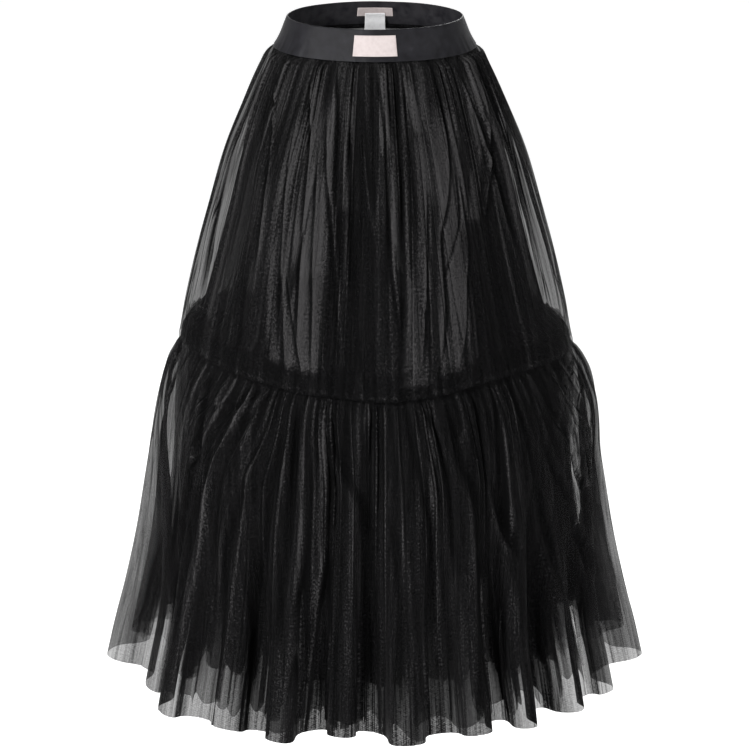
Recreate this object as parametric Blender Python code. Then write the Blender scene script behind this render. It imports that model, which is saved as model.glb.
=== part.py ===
"""A worn maxi skirt of net: an elastic waistband, a gathered upper tier and a gathered ruffle tier.

The skirt keeps the round, filled-out form it has on a wearer, open at the waist and at the hem.
The origin is the middle of the waist, half way down the band. +Z is up and the front faces -Y.
Lengths are metres and angles are degrees. A drop is a height measured down from the band's top edge.
An angle is measured round the skirt from the front, so +90 is the side at +X.
Every cloth layer is a wall whose middle surface is a rounded section plus a reach, outwards or
inwards, which the gathers and the folds give it.
"""

import bpy
import numpy as np

# Heights
BAND_HEIGHT = 0.040
WAIST_DROP = 0.020
SEAM_DROP = 0.449
HEM_DROP = 0.900
MIDDLE_HEM_DROP = 0.865
INNER_HEM_DROP = 0.810

# Thicknesses and clearances
NET_WALL = 0.0015
BAND_WALL = 0.0020
LABEL_WALL = 0.0008
SEAM_GAP = 0.0003
LAYER_GAP = 0.0011
BAND_GAP = 0.0008
PATCH_GAP = 0.0010

# A wall is thickened along its reach, and more so where it leans, down to this cosine
LEAST_COSINE = 0.45

# How much further in the net lies where it turns out round the band's lower edge
EDGE_DIP = 0.0020

# How far the cloth runs on past a seam, inside the piece above it
BAND_TUCK = 0.008
TIER_TUCK = 0.015
UPPER_TOP = BAND_HEIGHT - BAND_TUCK
UPPER_TURN = BAND_HEIGHT + 0.0015
LOWER_TOP = SEAM_DROP - TIER_TUCK
LOWER_TURN = SEAM_DROP + 0.001
UNDER_JOIN = LOWER_TOP - 0.003

# Gathers, counted all round. Each is full a little below its seam and dies out further down.
UPPER_GATHERS = 80
GATHERS_PER_FOLD = 4
WAIST_GATHER_DEPTH = 0.0034
WAIST_GATHER_START, WAIST_GATHER_FULL = UPPER_TURN, 0.049
WAIST_GATHER_LENGTHS = (0.10, 0.30)
RUFFLE_GATHER_DEPTH = 0.0042
RUFFLE_GATHER_START, RUFFLE_GATHER_FULL = LOWER_TURN, 0.463
RUFFLE_GATHER_LENGTHS = (0.12, 0.34)

# Where the upper tier's wide folds begin, are full and start to shrink towards the seam,
# and where the ruffle's folds begin and are full
UPPER_FOLD_DROPS = (0.06, 0.25, 0.30)
UPPER_FOLD_SHRINK = 0.55
RUFFLE_FOLD_DROPS = (SEAM_DROP + 0.02, HEM_DROP - 0.06)

# Labels
PATCH_WIDTH, PATCH_HEIGHT, PATCH_DROP = 0.056, 0.026, 0.007
BRAND_WIDTH, BRAND_HEIGHT, BRAND_DROP = 0.050, 0.012, 0.009
CARE_WIDTH, CARE_TOP_DROP, CARE_END_DROP = 0.028, 0.0165, 0.062

# The rounded sections: drop, half of the width, half of the depth
SECTIONS = (
    (0.000, 0.1160, 0.0925),
    (0.040, 0.1344, 0.1070),
    (0.047, 0.1445, 0.1160),
    (0.060, 0.1525, 0.1235),
    (0.114, 0.1762, 0.1460),
    (0.182, 0.2035, 0.1750),
    (0.251, 0.2230, 0.1970),
    (0.320, 0.2413, 0.2180),
    (0.390, 0.2571, 0.2365),
    (0.449, 0.2690, 0.2500),
    (0.474, 0.2820, 0.2620),
    (0.510, 0.2941, 0.2730),
    (0.567, 0.3059, 0.2815),
    (0.638, 0.3173, 0.2870),
    (0.710, 0.3282, 0.2925),
    (0.783, 0.3426, 0.3000),
    (0.849, 0.3583, 0.3080),
    (0.900, 0.3690, 0.3150),
)

# The wide folds of the upper tier: angle of the middle, half of the spread, reach
UPPER_FOLDS = (
    (-62, 16, -0.010),
    (-38, 15, 0.009),
    (-10, 14, -0.013),
    (14, 15, 0.009),
    (48, 16, -0.012),
    (72, 14, 0.006),
    (108, 15, -0.009),
    (134, 16, 0.009),
    (166, 15, -0.012),
    (194, 14, 0.008),
    (222, 16, -0.010),
    (248, 14, 0.007),
)

# The folds of the ruffle at its hem, from the side at -X round the front:
# angle and reach of the ridge, then angle and reach of the hollow after it
FRONT_FOLDS = (
    (-90.0, 0.000, -76.0, -0.050),
    (-63.0, -0.024, -56.0, -0.038),
    (-48.0, 0.014, -40.0, -0.004),
    (-32.0, 0.006, -26.0, -0.022),
    (-19.0, 0.026, -13.5, -0.024),
    (-7.0, 0.000, -1.0, -0.028),
    (6.5, 0.020, 14.0, -0.012),
    (22.0, 0.010, 27.5, -0.030),
    (33.0, 0.006, 38.5, -0.034),
    (47.0, -0.002, 54.5, -0.026),
    (62.0, -0.008, 74.0, -0.056),
)

# The same for the back, from the side at +X
BACK_FOLDS = (
    (90.0, 0.000, 101.0, -0.044),
    (111.0, 0.004, 118.5, -0.022),
    (127.0, 0.014, 135.0, -0.030),
    (142.0, 0.002, 148.0, -0.018),
    (157.0, 0.018, 165.0, -0.026),
    (173.0, 0.000, 179.0, -0.024),
    (187.0, 0.020, 195.5, -0.014),
    (203.0, 0.006, 210.0, -0.028),
    (218.0, 0.012, 226.5, -0.030),
    (234.0, 0.002, 241.5, -0.018),
    (250.0, -0.004, 259.0, -0.046),
)
FOLDS = FRONT_FOLDS + BACK_FOLDS

# Reach of each layer's middle surface from the sections: drop, reach.
# A tucked edge is nested inside the piece that covers it.
UPPER_OUTER_REACH = (
    (UPPER_TOP, -BAND_WALL - BAND_GAP - NET_WALL / 2),
    (UPPER_TURN, -BAND_WALL - BAND_GAP - NET_WALL / 2 - EDGE_DIP),
    (0.048, -0.0030),
    (0.060, -0.0040),
    (SEAM_DROP, -NET_WALL / 2),
)
UPPER_UNDER_REACH = (
    (UPPER_TOP, -BAND_WALL - BAND_GAP - LAYER_GAP - 1.5 * NET_WALL),
    (UPPER_TURN, -BAND_WALL - BAND_GAP - LAYER_GAP - 1.5 * NET_WALL - EDGE_DIP),
    (0.060, -0.0130),
    (0.150, -0.0200),
    (0.300, -0.0240),
    (0.395, -0.0200),
    (UNDER_JOIN, -1.5 * NET_WALL - LAYER_GAP),
    (SEAM_DROP, -1.5 * NET_WALL - LAYER_GAP),
)
LOWER_OUTER_REACH = (
    (LOWER_TOP, -2.5 * NET_WALL - 2 * LAYER_GAP),
    (LOWER_TURN, -2.5 * NET_WALL - 2 * LAYER_GAP),
    (0.463, -0.0020),
    (0.510, -0.0040),
    (HEM_DROP, -NET_WALL / 2),
)
# How far the middle layer lies inside the outer one. The inner layer lies twice as far in.
LINING_INSET = (
    (LOWER_TOP, NET_WALL + LAYER_GAP),
    (LOWER_TURN, NET_WALL + LAYER_GAP),
    (0.463, 0.0085),
    (0.510, 0.0150),
    (0.600, 0.0180),
    (HEM_DROP, 0.0180),
)

# The care label hangs nearly straight down, clear of the tucked edges and of the under layer
CARE_REACH = ((0.030, -0.0075), (0.041, -0.0105), (0.050, -0.0220), (CARE_END_DROP, -0.0290))

# Rows down each layer, as drops. The gathers are deepest at the second or third of them.
UPPER_OUTER_ROWS = (UPPER_TOP, UPPER_TURN, 0.049, 0.090, 0.180, 0.310, SEAM_DROP)
UPPER_UNDER_ROWS = (UPPER_TOP, UPPER_TURN, 0.075, 0.230, 0.395, UNDER_JOIN, SEAM_DROP)
LOWER_OUTER_ROWS = (LOWER_TOP, LOWER_TURN, 0.463, 0.505, 0.590, 0.740, HEM_DROP)
LOWER_MIDDLE_ROWS = (LOWER_TOP, LOWER_TURN, 0.463, 0.530, 0.680, MIDDLE_HEM_DROP)
LOWER_INNER_ROWS = (LOWER_TOP, LOWER_TURN, 0.463, 0.600, INNER_HEM_DROP)

BAND_COLUMNS = 56
LABEL_COLUMNS = 9

# Finishes: colour, roughness, metallic
BLACK_NET = ((0.012, 0.012, 0.013), 0.75, 0.0)
DENSE_NET = ((0.006, 0.006, 0.007), 0.80, 0.0)
ELASTIC = ((0.022, 0.022, 0.027), 0.55, 0.0)
CREAM_WEAVE = ((0.80, 0.72, 0.70), 0.70, 0.0)
WHITE_TAPE = ((0.62, 0.62, 0.64), 0.65, 0.0)


def clear_scene():
    """Remove every object of the scene that the file opened with."""
    for thing in list(bpy.data.objects):
        bpy.data.objects.remove(thing, do_unlink=True)


def make_material(name, finish):
    """A Principled material with one colour, roughness and metallic value."""
    colour, roughness, metallic = finish
    material = bpy.data.materials.new(name)
    material.use_nodes = True
    shader = material.node_tree.nodes["Principled BSDF"]
    shader.inputs["Base Color"].default_value = (*colour, 1.0)
    shader.inputs["Roughness"].default_value = roughness
    shader.inputs["Metallic"].default_value = metallic
    material.diffuse_color = (*colour, 1.0)
    return material


def smooth_through(places, values, at):
    """A smooth curve through the given values that never overshoots them (Fritsch-Carlson)."""
    places, values = np.asarray(places, float), np.asarray(values, float)
    steps = np.diff(places)
    rises = np.diff(values) / steps
    slopes = np.zeros_like(values)
    slopes[0], slopes[-1] = rises[0], rises[-1]
    same_way = rises[:-1] * rises[1:] > 0
    total = np.where(same_way, rises[:-1] + rises[1:], 1.0)
    slopes[1:-1] = np.where(same_way, 2 * rises[:-1] * rises[1:] / total, 0.0)
    at = np.clip(at, places[0], places[-1])
    left = np.clip(np.searchsorted(places, at, side="right") - 1, 0, len(steps) - 1)
    span = steps[left]
    t = (at - places[left]) / span
    start = (1 + 2 * t) * (1 - t) ** 2 * values[left] + t * (1 - t) ** 2 * span * slopes[left]
    end = t * t * (3 - 2 * t) * values[left + 1] - t * t * (1 - t) * span * slopes[left + 1]
    return start + end


def ease(value, low, high):
    """Nought up to low, one from high on, and a soft rise between."""
    t = np.clip((value - low) / (high - low), 0.0, 1.0)
    return t * t * (3 - 2 * t)


SECTION_DROPS, SECTION_WIDTHS, SECTION_DEPTHS = np.array(SECTIONS).T


def place(angle, drop, reach):
    """The point at an angle and a drop, a reach outside the rounded section there."""
    turn = np.radians(angle)
    half_width = smooth_through(SECTION_DROPS, SECTION_WIDTHS, drop) + reach
    half_depth = smooth_through(SECTION_DROPS, SECTION_DEPTHS, drop) + reach
    return np.stack((half_width * np.sin(turn), -half_depth * np.cos(turn), WAIST_DROP - drop), axis=-1)


def reach_of(table, drop):
    drops, reaches = np.array(table).T
    return smooth_through(drops, reaches, drop)


def upper_fold_reach(angle, drop):
    """The upper tier's wide folds: soft bells round the skirt, which grow from the band down."""
    total = np.zeros_like(angle)
    for middle, spread, reach in UPPER_FOLDS:
        away = np.abs((angle - middle + 180) % 360 - 180)
        total = total + reach * (0.5 + 0.5 * np.cos(np.pi * np.clip(away / spread, 0, 1)))
    begin, full, shrink = UPPER_FOLD_DROPS
    return total * ease(drop, begin, full) * (1 - UPPER_FOLD_SHRINK * ease(drop, shrink, SEAM_DROP))


def gather_strength(gather, drop, start, full, lengths):
    """How deep a gather is: it rises below its seam and dies out, later for some than for others."""
    shortest, longest = lengths
    uneven = 0.5 + 0.5 * np.sin(2.4 * gather) * np.cos(0.83 * gather + 1.0)
    length = shortest + (longest - shortest) * uneven
    return ease(drop, start, full) * (1 - ease(drop, full, full + length)) * (0.75 + 0.25 * uneven)


def upper_outer(gather, drop):
    """The outer net of the upper tier, by the gather's number from the side at -X."""
    angle = -90 + 360 * gather / UPPER_GATHERS
    strength = gather_strength(gather, drop, WAIST_GATHER_START, WAIST_GATHER_FULL, WAIST_GATHER_LENGTHS)
    reach = reach_of(UPPER_OUTER_REACH, drop) + upper_fold_reach(angle, drop)
    return angle, reach + WAIST_GATHER_DEPTH * strength * np.cos(2 * np.pi * gather)


def upper_under(turn, drop):
    """The under layer of the upper tier, by the share of a turn from the side at -X."""
    angle = -90 + 360 * turn
    return angle, reach_of(UPPER_UNDER_REACH, drop) + upper_fold_reach(angle, drop)


def fold_angle_and_reach(fold):
    """Angle and reach of the hem, by the fold's number from the side at -X.

    A whole number is a ridge and a half is the hollow after it. The angle runs straight between
    them, and the reach follows half a cosine wave."""
    ridges = [(angle, reach) for angle, reach, _, _ in FOLDS]
    hollows = [(angle, reach) for _, _, angle, reach in FOLDS]
    stops = [stop for pair in zip(ridges, hollows) for stop in pair]
    first_angle, first_reach = stops[0]
    stops.append((first_angle + 360, first_reach))
    angles, reaches = np.array(stops).T
    halves = 2 * fold
    angle = np.interp(halves, np.arange(len(angles)), angles)
    left = np.clip(np.floor(halves).astype(int), 0, len(reaches) - 2)
    share = 0.5 - 0.5 * np.cos(np.pi * (halves - left))
    return angle, reaches[left] + (reaches[left + 1] - reaches[left]) * share


def lower_place(fold, drop, inset, gathered):
    """Angle and reach of the lower tier, by the fold's number, an inset inside the outer net."""
    hem_angle, hem_reach = fold_angle_and_reach(np.mod(fold, len(FOLDS)))
    even_angle = -90 + 360 * np.mod(fold, len(FOLDS)) / len(FOLDS)
    grown = ease(drop, *RUFFLE_FOLD_DROPS)
    angle = even_angle + (hem_angle - even_angle) * grown
    reach = reach_of(LOWER_OUTER_REACH, drop) - inset
    reach = reach + (1 - grown) * upper_fold_reach(even_angle, np.minimum(drop, SEAM_DROP))
    reach = reach + grown * hem_reach
    if gathered:
        gather = fold * GATHERS_PER_FOLD
        strength = gather_strength(gather, drop, RUFFLE_GATHER_START, RUFFLE_GATHER_FULL,
                                   RUFFLE_GATHER_LENGTHS)
        reach = reach + RUFFLE_GATHER_DEPTH * strength * np.cos(2 * np.pi * gather)
    return angle, reach


def lower_outer(fold, drop):
    return lower_place(fold, drop, 0.0, gathered=True)


def lower_middle(fold, drop):
    return lower_place(fold, drop, reach_of(LINING_INSET, drop), gathered=False)


def lower_inner(fold, drop):
    return lower_place(fold, drop, 2 * reach_of(LINING_INSET, drop), gathered=False)


def cosines_of(surface, across, down):
    """The cosine of a surface's lean: its unit normal, times the way that reach is measured."""
    across_step = 1e-4 * (across.max() - across.min())
    down_step = 5e-4

    def point(across, down):
        angle, reach = surface(across, down)
        return place(angle, down, reach)

    along = point(across + across_step, down) - point(across - across_step, down)
    falling = point(across, down + down_step) - point(across, down - down_step)
    normals = np.cross(falling, along)
    turn = np.radians(surface(across, down)[0])
    outwards = normals[..., 0] * np.sin(turn) - normals[..., 1] * np.cos(turn)
    return outwards / np.linalg.norm(normals, axis=-1)


def cloth_wall(name, surface, columns, rows, thickness, finish, collection, ring=False):
    """One closed wall of cloth: an outer and an inner grid either side of the middle surface.

    The surface gives angle and reach. The columns run round the skirt from -X by the front, and
    the rows run down. An open panel is closed along its four edges, and a ring along its top and
    bottom only. Both grids have the same diagonals, so that they never meet."""
    down, across = np.meshgrid(np.asarray(rows, float), np.asarray(columns, float), indexing="ij")
    angle, reach = surface(across, down)
    half = thickness / 2 / np.maximum(cosines_of(surface, across, down), LEAST_COSINE)
    outside, inside = place(angle, down, reach + half), place(angle, down, reach - half)
    row_count, column_count = down.shape
    outer_number = np.arange(row_count * column_count).reshape(row_count, column_count)
    if ring:
        outer_number = np.hstack((outer_number, outer_number[:, :1]))
    inner_number = outer_number + row_count * column_count

    def strip(first, second, outwards=True):
        """Triangles between two lines of points: each quad is cut from its first corner."""
        near = np.stack((first[:-1], second[:-1], second[1:]), axis=-1)
        far = np.stack((first[:-1], second[1:], first[1:]), axis=-1)
        triangles = np.concatenate((near, far))
        return triangles if outwards else triangles[:, ::-1]

    faces = [strip(outer_number[row], outer_number[row + 1]) for row in range(row_count - 1)]
    faces += [strip(inner_number[row], inner_number[row + 1], False) for row in range(row_count - 1)]
    faces += [strip(inner_number[0], outer_number[0]), strip(outer_number[-1], inner_number[-1])]
    if not ring:
        faces += [strip(outer_number[:, 0], inner_number[:, 0])]
        faces += [strip(inner_number[:, -1], outer_number[:, -1])]
    points = np.concatenate((outside.reshape(-1, 3), inside.reshape(-1, 3)))
    mesh = bpy.data.meshes.new(name)
    mesh.from_pydata(points.tolist(), [], np.concatenate(faces).tolist())
    mesh.validate()
    mesh.update()
    mesh.shade_smooth()
    mesh.set_sharp_from_angle(angle=np.radians(60))
    mesh.materials.append(make_material(name, finish))
    piece = bpy.data.objects.new(name, mesh)
    collection.objects.link(piece)
    return piece


def halves(name, surface, whole, count, rows, finish, collection):
    """The front and the back panel of a layer, which meet at the side seams half a gap apart.

    The surface's first parameter runs from 0 to whole round the skirt, in count columns."""
    around = np.pi * (SECTION_WIDTHS[-1] + SECTION_DEPTHS[-1])
    margin = whole * (SEAM_GAP / 2) / around * 1.6
    for side, start in (("front", 0.0), ("back", whole / 2)):
        columns = start + np.linspace(0, whole / 2, count // 2 + 1)
        columns[0] += margin
        columns[-1] -= margin
        cloth_wall(f"{name}_{side}", surface, columns, rows, NET_WALL, finish, collection)


def build_waistband(collection):
    """The elastic band: a plain ring whose outer face lies on the sections."""
    def middle(turn, drop):
        return 360 * turn, np.full_like(turn, -BAND_WALL / 2)

    columns = np.arange(BAND_COLUMNS) / BAND_COLUMNS
    rows = np.linspace(0, BAND_HEIGHT, 3)
    cloth_wall("waistband", middle, columns, rows, BAND_WALL, ELASTIC, collection, ring=True)


def build_labels(collection):
    """The patch on the band's front and the two labels inside its back, made from its own face."""
    half_width = SECTION_WIDTHS[:2].mean()

    def on_front(across, drop):
        reach = PATCH_GAP + LABEL_WALL / 2
        return np.degrees(across / half_width), np.full_like(across, reach)

    def brand(across, drop):
        reach = -BAND_WALL - BAND_GAP - LABEL_WALL / 2
        return 180 + np.degrees(across / half_width), np.full_like(across, reach)

    def care(across, drop):
        top = -BAND_WALL - 2 * BAND_GAP - 1.5 * LABEL_WALL
        table = ((0.0, top), (BRAND_DROP + BRAND_HEIGHT, top)) + CARE_REACH
        return 180 + np.degrees(across / half_width), reach_of(table, drop)

    def panel(name, surface, width, top, bottom, row_count, finish):
        columns = np.linspace(-width / 2, width / 2, LABEL_COLUMNS)
        rows = np.linspace(top, bottom, row_count)
        cloth_wall(name, surface, columns, rows, LABEL_WALL, finish, collection)

    patch_end = PATCH_DROP + PATCH_HEIGHT
    panel("front_patch", on_front, PATCH_WIDTH, PATCH_DROP, patch_end, 3, CREAM_WEAVE)
    brand_end = BRAND_DROP + BRAND_HEIGHT
    panel("brand_label", brand, BRAND_WIDTH, BRAND_DROP, brand_end, 2, CREAM_WEAVE)
    panel("care_label", care, CARE_WIDTH, CARE_TOP_DROP, CARE_END_DROP, 6, WHITE_TAPE)


def build_upper_tier(collection):
    """Two layers of net gathered into the band, each a front and a back panel."""
    halves("upper_outer", upper_outer, UPPER_GATHERS, 2 * UPPER_GATHERS, UPPER_OUTER_ROWS,
           BLACK_NET, collection)
    halves("upper_under", upper_under, 1.0, UPPER_GATHERS, UPPER_UNDER_ROWS, DENSE_NET, collection)


def build_lower_tier(collection):
    """Three layers of net gathered to the upper tier, with hems of three lengths."""
    folds = len(FOLDS)
    halves("lower_outer", lower_outer, folds, 2 * GATHERS_PER_FOLD * folds, LOWER_OUTER_ROWS,
           BLACK_NET, collection)
    halves("lower_middle", lower_middle, folds, 4 * folds, LOWER_MIDDLE_ROWS, BLACK_NET, collection)
    halves("lower_inner", lower_inner, folds, 4 * folds, LOWER_INNER_ROWS, DENSE_NET, collection)


def main():
    clear_scene()
    collection = bpy.data.collections.new("maxi_skirt")
    bpy.context.scene.collection.children.link(collection)
    build_waistband(collection)
    build_labels(collection)
    build_upper_tier(collection)
    build_lower_tier(collection)


main()
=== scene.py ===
# %% [markdown]
# # A worn maxi skirt of black net
#
# The real skirt has two tiers of soft see-through net. The upper tier is gathered into an elastic
# band, and the lower tier is a ruffle gathered to the upper one. Each tier has more than one layer,
# so the skirt is nearly black in the middle and see-through where only one layer is left: at its
# sides and along its hems.
#
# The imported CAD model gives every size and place. It is loaded first and never moved. Each of its
# plain walls is then replaced by a finer piece of the same form.

import bpy
import numpy as np
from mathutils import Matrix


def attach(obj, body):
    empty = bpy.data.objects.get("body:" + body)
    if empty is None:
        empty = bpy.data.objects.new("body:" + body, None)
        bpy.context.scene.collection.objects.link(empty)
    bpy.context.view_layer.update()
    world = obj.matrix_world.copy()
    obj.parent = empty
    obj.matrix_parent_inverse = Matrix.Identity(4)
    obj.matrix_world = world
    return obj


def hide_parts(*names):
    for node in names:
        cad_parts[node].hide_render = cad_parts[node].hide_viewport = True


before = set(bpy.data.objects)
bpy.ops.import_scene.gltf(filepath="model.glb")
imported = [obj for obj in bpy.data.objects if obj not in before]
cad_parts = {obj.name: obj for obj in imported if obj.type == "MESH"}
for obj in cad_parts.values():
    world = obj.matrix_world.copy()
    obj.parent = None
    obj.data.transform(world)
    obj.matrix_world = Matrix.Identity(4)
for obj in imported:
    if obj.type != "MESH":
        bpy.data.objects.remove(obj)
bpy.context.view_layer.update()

# %% [markdown]
# ## The driving sizes
#
# A *drop* is a height measured down from the band's top edge, and an *angle* is measured round the
# skirt from its front, in degrees. With these two numbers every piece can be written as a function.
# A table of rounded sections gives half of the width and half of the depth at a few drops, which is
# how a pattern maker would note a skirt's shape, and a smooth curve fills in the rest.

# %% Heights, layers and sections
BAND_HEIGHT = 0.040
WAIST_DROP = 0.020
SEAM_DROP = 0.449
HEM_DROP = 0.900
MIDDLE_HEM_DROP = 0.865
INNER_HEM_DROP = 0.810
TIER_TUCK = 0.032
NET_WALL = 0.0015
BAND_WALL = 0.0020
BAND_GAP = 0.0008

UPPER_TOP = BAND_HEIGHT - 0.008
UPPER_TURN = BAND_HEIGHT + 0.0015
LOWER_TOP = SEAM_DROP - TIER_TUCK
LOWER_TURN = SEAM_DROP + 0.001

# Drop, half of the width, half of the depth
SECTIONS = (
    (0, 0.116, 0.0925), (0.04, 0.1344, 0.107), (0.047, 0.1445, 0.116), (0.06, 0.1525, 0.1235),
    (0.114, 0.1762, 0.146), (0.182, 0.2035, 0.175), (0.251, 0.223, 0.197), (0.32, 0.2413, 0.218),
    (0.39, 0.2571, 0.2365), (0.449, 0.269, 0.25), (0.474, 0.282, 0.262), (0.51, 0.2941, 0.273),
    (0.567, 0.3059, 0.2815), (0.638, 0.3173, 0.287), (0.71, 0.3282, 0.2925), (0.783, 0.3426, 0.3),
    (0.849, 0.3583, 0.308), (0.9, 0.369, 0.315),
)
SECTION_DROPS, SECTION_WIDTHS, SECTION_DEPTHS = np.array(SECTIONS).T
print("length from band to hem", HEM_DROP, "m")

# %% [markdown]
# ## Curves and noise
#
# Cloth needs smooth curves through a few chosen values, soft steps from nought to one, and an
# unevenness that closes on itself all the way round. These small helpers give them for whole
# arrays at once, so no code ever walks from point to point.

# %% Smooth curves, soft steps and points on the skirt


def smooth_through(places, values, at):
    """A cubic between each two values whose slopes are kept small enough never to overshoot."""
    places, values = np.asarray(places, float), np.asarray(values, float)
    steps = np.diff(places)
    rises = np.diff(values) / steps
    slopes = np.zeros_like(values)
    slopes[0], slopes[-1] = rises[0], rises[-1]
    same_way = rises[:-1] * rises[1:] > 0
    total = np.where(same_way, rises[:-1] + rises[1:], 1.0)
    slopes[1:-1] = np.where(same_way, 2 * rises[:-1] * rises[1:] / total, 0.0)
    at = np.clip(at, places[0], places[-1])
    left = np.clip(np.searchsorted(places, at, side="right") - 1, 0, len(steps) - 1)
    span = steps[left]
    t = (at - places[left]) / span
    start = (1 + 2 * t) * (1 - t) ** 2 * values[left] + t * (1 - t) ** 2 * span * slopes[left]
    end = t * t * (3 - 2 * t) * values[left + 1] - t * t * (1 - t) * span * slopes[left + 1]
    return start + end


def reach_of(table, drop):
    """The reach that a table of drop and reach gives at a drop."""
    drops, reaches = np.array(table).T
    return smooth_through(drops, reaches, drop)


def ease(value, low, high):
    """Nought up to low, one from high on, and three t squared less two t cubed between."""
    t = np.clip((value - low) / (high - low), 0.0, 1.0)
    return t * t * (3 - 2 * t)


def bell(away, spread):
    """Half a cosine wave: one at the middle, nought from a spread away on."""
    return 0.5 + 0.5 * np.cos(np.pi * np.clip(np.abs(away) / spread, 0, 1))


def round_gap(angle, middle):
    """How far an angle is from a middle one, the short way round, in degrees."""
    return (angle - middle + 180) % 360 - 180


def place(angle, drop, reach):
    """The point at an angle and a drop, a reach outside the rounded section there."""
    turn = np.radians(angle)
    half_width = smooth_through(SECTION_DROPS, SECTION_WIDTHS, drop) + reach
    half_depth = smooth_through(SECTION_DROPS, SECTION_DEPTHS, drop) + reach
    across, depth = half_width * np.sin(turn), -half_depth * np.cos(turn)
    return np.stack((across, depth, WAIST_DROP - drop), axis=-1)


def even_angle_of(share):
    """The angle at an even share of a turn that starts at the skirt's side."""
    return -90 + 360 * share


def either_side(angle, middle, spread):
    """A bell on each side of the skirt, at an angle from the front."""
    return bell(np.abs(round_gap(angle, 0)) - middle, spread)


def ripple(angle, drop, fewest, most, drift, seed, waves=9):
    """Uneven waves round the skirt: a sum of cosines with whole numbers of waves a turn.

    Each wave has its own count between fewest and most, its own phase, and leans sideways by up
    to drift radians a metre of drop. The sum has a spread of about one."""
    draw = np.random.default_rng(seed)
    counts = draw.integers(fewest, most + 1, waves)
    phases = draw.uniform(0, 2 * np.pi, waves)
    leans = draw.uniform(-drift, drift, waves)
    turn = np.radians(angle)
    total = sum(np.cos(n * turn + lean * drop + p) for n, lean, p in zip(counts, leans, phases))
    return total / np.sqrt(waves / 2)


def level_ripple(angle, fewest, most, seed):
    """Uneven waves that are the same at every drop."""
    return ripple(angle, 0.0, fewest, most, 0.0, seed)


def crease_lines(field, width):
    """Thin soft lines where an uneven field crosses nought: one on the line, nought away from it."""
    return np.exp(-((field / width) ** 2))


quarter_turn = place(np.array(90.0), np.array(SEAM_DROP), 0.0)
print("a quarter turn at the seam is at", quarter_turn.round(3))

# %% [markdown]
# ## Sheets from grids
#
# A layer of net is one open sheet: rows run down the skirt and columns run round it, and the last
# column joins the first. NumPy works out all the points, and from_pydata and foreach_set hand them
# to Blender. Each corner also gets a UV place in metres of cloth, so that the net pattern has its
# real size and follows the folds.
#
# Net looks darker where it turns edge-on, because its threads crowd together. That is a fact about
# the cloth's form and not about the camera: it is worked out once, from how far the cloth leans
# away from the smooth skirt under it, and stored at each point as *cover*, the share of the light
# that the threads stop.

# %% Make meshes from grids of points


def grid_faces(rows, columns, closed):
    """Quads between rows and columns. A closed grid joins its last column to its first."""
    number = np.arange(rows * columns).reshape(rows, columns)
    if closed:
        number = np.hstack((number, number[:, :1]))
    corners = (number[:-1, :-1], number[1:, :-1], number[1:, 1:], number[:-1, 1:])
    return np.stack(corners, axis=-1).reshape(-1, 4)


def mesh_piece(name, points, faces, smooth=True):
    """A new object at the origin whose mesh has these points and faces."""
    mesh = bpy.data.meshes.new(name)
    mesh.from_pydata(points.reshape(-1, 3).tolist(), [], faces.tolist())
    mesh.update()
    if smooth:
        mesh.shade_smooth()
    piece = bpy.data.objects.new(name, mesh)
    bpy.context.scene.collection.objects.link(piece)
    return piece


def add_uv(piece, name, across, down):
    """A UV map from two grids whose last column ends the turn that the first one starts."""
    corner = np.stack((across, down), axis=-1)
    quads = (corner[:-1, :-1], corner[1:, :-1], corner[1:, 1:], corner[:-1, 1:])
    layer = piece.data.uv_layers.new(name=name)
    layer.data.foreach_set("uv", np.stack(quads, axis=2).reshape(-1).astype(np.float32))


def add_values(piece, name, values):
    """Store one number at each point."""
    attribute = piece.data.attributes.new(name, "FLOAT", "POINT")
    attribute.data.foreach_set("value", values.reshape(-1).astype(np.float32))


def normals_of(points):
    """Unit normals of a closed grid, from the differences between each point's neighbours."""
    along = np.roll(points, -1, axis=1) - np.roll(points, 1, axis=1)
    down = np.gradient(points, axis=0)
    normals = np.cross(down, along)
    return normals / np.maximum(np.linalg.norm(normals, axis=-1, keepdims=True), 1e-12)


def lean_of(points, plain):
    """How much closer threads look where cloth leans: one over the lean's cosine, three at most."""
    cosine = np.abs((normals_of(points) * normals_of(plain)).sum(axis=-1))
    return 1 / np.maximum(cosine, 1 / 3)


def sheet_area(points):
    """The area of a closed grid, from the cross product of each quad's diagonals."""
    points = np.concatenate((points, points[:, :1]), axis=1)
    one = points[1:, 1:] - points[:-1, :-1]
    other = points[1:, :-1] - points[:-1, 1:]
    return float(np.linalg.norm(np.cross(one, other), axis=-1).sum() / 2)


print("faces of a small closed grid", len(grid_faces(3, 4, True)))

# %% [markdown]
# ## The camera, the floor and the light
#
# The photograph looks a little down on the skirt from some way off, so its lines hardly converge.
# A long lens five metres away gives the same flat perspective. The background is plain white, and
# net shows whatever is behind it, so the floor is pale and evenly lit, and lies well under the hem.

# %% Camera
CAMERA_DISTANCE = 5.0
CAMERA_HEIGHT = 1.0401 + WAIST_DROP
CAMERA_PITCH = 0.298
FOCAL_PIXELS = 3863.0
IMAGE_PIXELS = 750
SENSOR_WIDTH = 36.0

camera_data = bpy.data.cameras.new("camera")
camera_data.sensor_width = SENSOR_WIDTH
camera_data.lens = FOCAL_PIXELS * SENSOR_WIDTH / IMAGE_PIXELS
camera = bpy.data.objects.new("camera", camera_data)
camera.location = (0, -CAMERA_DISTANCE, CAMERA_HEIGHT)
camera.rotation_euler = (np.pi / 2 - CAMERA_PITCH, 0, 0)
bpy.context.scene.collection.objects.link(camera)
bpy.context.scene.camera = camera
print("lens", round(camera_data.lens, 1), "mm")

# %% Floor, surroundings and lamps
FLOOR_DROP = 1.90
FLOOR_SIZE = 60.0


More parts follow.
